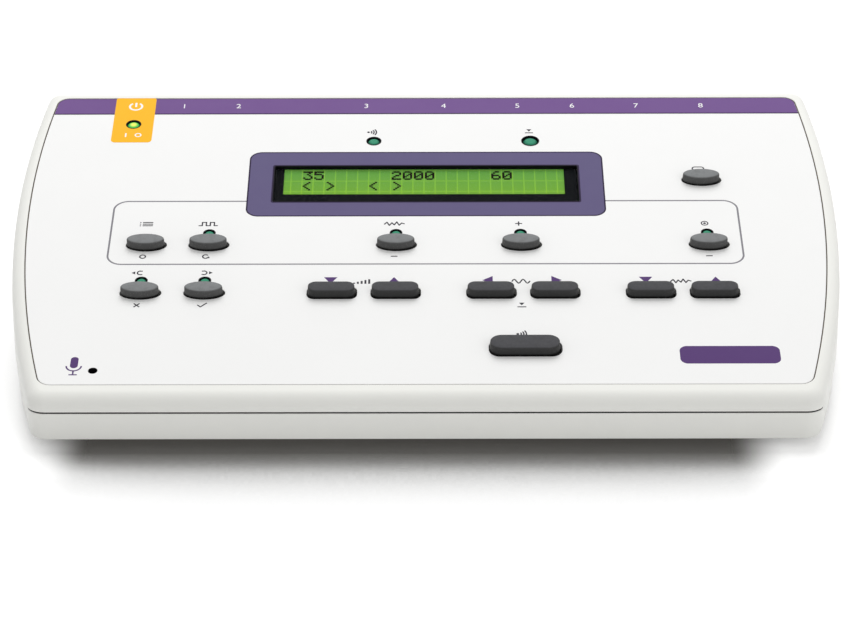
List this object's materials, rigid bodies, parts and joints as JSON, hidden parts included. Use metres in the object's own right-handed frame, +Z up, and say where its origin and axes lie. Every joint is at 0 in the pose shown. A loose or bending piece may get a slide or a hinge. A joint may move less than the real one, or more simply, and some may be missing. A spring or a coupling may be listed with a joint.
{
  "type": "audiometer",
  "caption": "Desk audiometer with bowed sides, a sloping face with a two-line display, sprung keys and lamps, and jack sockets on its back.",
  "frame": {"origin": "on the table, under the middle of the whole instrument", "axes": "+X to the user's right, +Y away from the user towards the sockets, +Z up"},
  "size_m": [0.27, 0.165, 0.06],
  "materials": {
    "case": "fine moulded texture",
    "overlay": "printed satin sheet",
    "window": "clear",
    "display_frame": "satin black",
    "display_glass": "lit green",
    "backlight": "milky",
    "circuit_board": "solder mask",
    "screw_steel": "plated",
    "socket_plastic": "moulded black",
    "lamp_green": "tinted lens",
    "lamp_lit": "lit lens",
    "capsule_metal": "satin",
    "rubber": "matt",
    "chip_plastic": "moulded",
    "capacitor_sleeve": "shrink sleeve",
    "ribbon": "flat cable",
    "rocker": "moulded black",
    "lead_insulation": "insulation",
    "socket_steel": "plated sheet",
    "socket_insert": "moulded",
    "nut_black": "moulded",
    "nut_yellow": "moulded",
    "nut_grey": "moulded",
    "nut_blue": "moulded",
    "nut_red": "moulded",
    "key_grey": "fine matt",
    "key_black": "fine matt"
  },
  "bodies": {
    "case": {"top_shell": "case", "base_shell": "case", "face_overlay": "overlay", "display_window": "window", "lcd_bezel": "display_frame", "lcd_glass": "display_glass", "lcd_backlight": "backlight", "lcd_board": "circuit_board", "lcd_screws": "screw_steel", "key_board": "circuit_board", "key_board_screws": "screw_steel", "switch_bodies": "socket_plastic", "led_spacers": "socket_plastic", "indicator_leds": "lamp_green", "power_led": "lamp_lit", "microphone": "capsule_metal", "microphone_boot": "rubber", "main_board": "circuit_board", "main_board_screws": "screw_steel", "main_board_chips": "chip_plastic", "board_capacitors": "capacitor_sleeve", "header_sockets": "socket_plastic", "board_link_cable": "ribbon", "power_switch_body": "socket_plastic", "switch_leads": "lead_insulation", "power_socket": "socket_plastic", "usb_socket": "socket_steel", "usb_insert": "socket_insert", "printer_socket": "socket_plastic", "jack_bodies": "socket_plastic", "response_nut": "nut_black", "insert_nut": "nut_yellow", "bone_nut": "nut_grey", "left_nut": "nut_blue", "right_nut": "nut_red", "case_screws": "screw_steel", "feet": "rubber"},
    "menu_key": {"menu_key": "key_grey"},
    "pulse_key": {"pulse_key": "key_grey"},
    "mask_key": {"mask_key": "key_grey"},
    "boost_key": {"boost_key": "key_grey"},
    "bone_key": {"bone_key": "key_grey"},
    "left_key": {"left_key": "key_grey"},
    "right_key": {"right_key": "key_grey"},
    "talk_over_key": {"talk_over_key": "key_grey"},
    "level_down_key": {"level_down_key": "key_black"},
    "level_up_key": {"level_up_key": "key_black"},
    "frequency_down_key": {"frequency_down_key": "key_black"},
    "frequency_up_key": {"frequency_up_key": "key_black"},
    "masking_down_key": {"masking_down_key": "key_black"},
    "masking_up_key": {"masking_up_key": "key_black"},
    "present_key": {"present_key": "key_black"},
    "power_rocker": {"power_rocker": "rocker"}
  },
  "joints": [
    {"name": "menu_key_press", "type": "slide", "parent": "case", "child": "menu_key", "axis": [0, 0.2656, -0.9641], "range_m": [0, 0.001], "stiffness_N_per_m": 400},
    {"name": "pulse_key_press", "type": "slide", "parent": "case", "child": "pulse_key", "axis": [0, 0.2656, -0.9641], "range_m": [0, 0.001], "stiffness_N_per_m": 400},
    {"name": "mask_key_press", "type": "slide", "parent": "case", "child": "mask_key", "axis": [0, 0.2656, -0.9641], "range_m": [0, 0.001], "stiffness_N_per_m": 400},
    {"name": "boost_key_press", "type": "slide", "parent": "case", "child": "boost_key", "axis": [0, 0.2656, -0.9641], "range_m": [0, 0.001], "stiffness_N_per_m": 400},
    {"name": "bone_key_press", "type": "slide", "parent": "case", "child": "bone_key", "axis": [0, 0.2656, -0.9641], "range_m": [0, 0.001], "stiffness_N_per_m": 400},
    {"name": "left_key_press", "type": "slide", "parent": "case", "child": "left_key", "axis": [0, 0.2656, -0.9641], "range_m": [0, 0.001], "stiffness_N_per_m": 400},
    {"name": "right_key_press", "type": "slide", "parent": "case", "child": "right_key", "axis": [0, 0.2656, -0.9641], "range_m": [0, 0.001], "stiffness_N_per_m": 400},
    {"name": "talk_over_key_press", "type": "slide", "parent": "case", "child": "talk_over_key", "axis": [0, 0.2656, -0.9641], "range_m": [0, 0.001], "stiffness_N_per_m": 400},
    {"name": "level_down_key_press", "type": "slide", "parent": "case", "child": "level_down_key", "axis": [0, 0.2656, -0.9641], "range_m": [0, 0.001], "stiffness_N_per_m": 400},
    {"name": "level_up_key_press", "type": "slide", "parent": "case", "child": "level_up_key", "axis": [0, 0.2656, -0.9641], "range_m": [0, 0.001], "stiffness_N_per_m": 400},
    {"name": "frequency_down_key_press", "type": "slide", "parent": "case", "child": "frequency_down_key", "axis": [0, 0.2656, -0.9641], "range_m": [0, 0.001], "stiffness_N_per_m": 400},
    {"name": "frequency_up_key_press", "type": "slide", "parent": "case", "child": "frequency_up_key", "axis": [0, 0.2656, -0.9641], "range_m": [0, 0.001], "stiffness_N_per_m": 400},
    {"name": "masking_down_key_press", "type": "slide", "parent": "case", "child": "masking_down_key", "axis": [0, 0.2656, -0.9641], "range_m": [0, 0.001], "stiffness_N_per_m": 400},
    {"name": "masking_up_key_press", "type": "slide", "parent": "case", "child": "masking_up_key", "axis": [0, 0.2656, -0.9641], "range_m": [0, 0.001], "stiffness_N_per_m": 400},
    {"name": "present_key_press", "type": "slide", "parent": "case", "child": "present_key", "axis": [0, 0.2656, -0.9641], "range_m": [0, 0.001], "stiffness_N_per_m": 400},
    {"name": "power_rocker_tilt", "type": "hinge", "parent": "case", "child": "power_rocker", "pos_m": [-0.1, 0.077, 0.032], "axis": [1, 0, 0], "range_deg": [0, 14]}
  ]
}
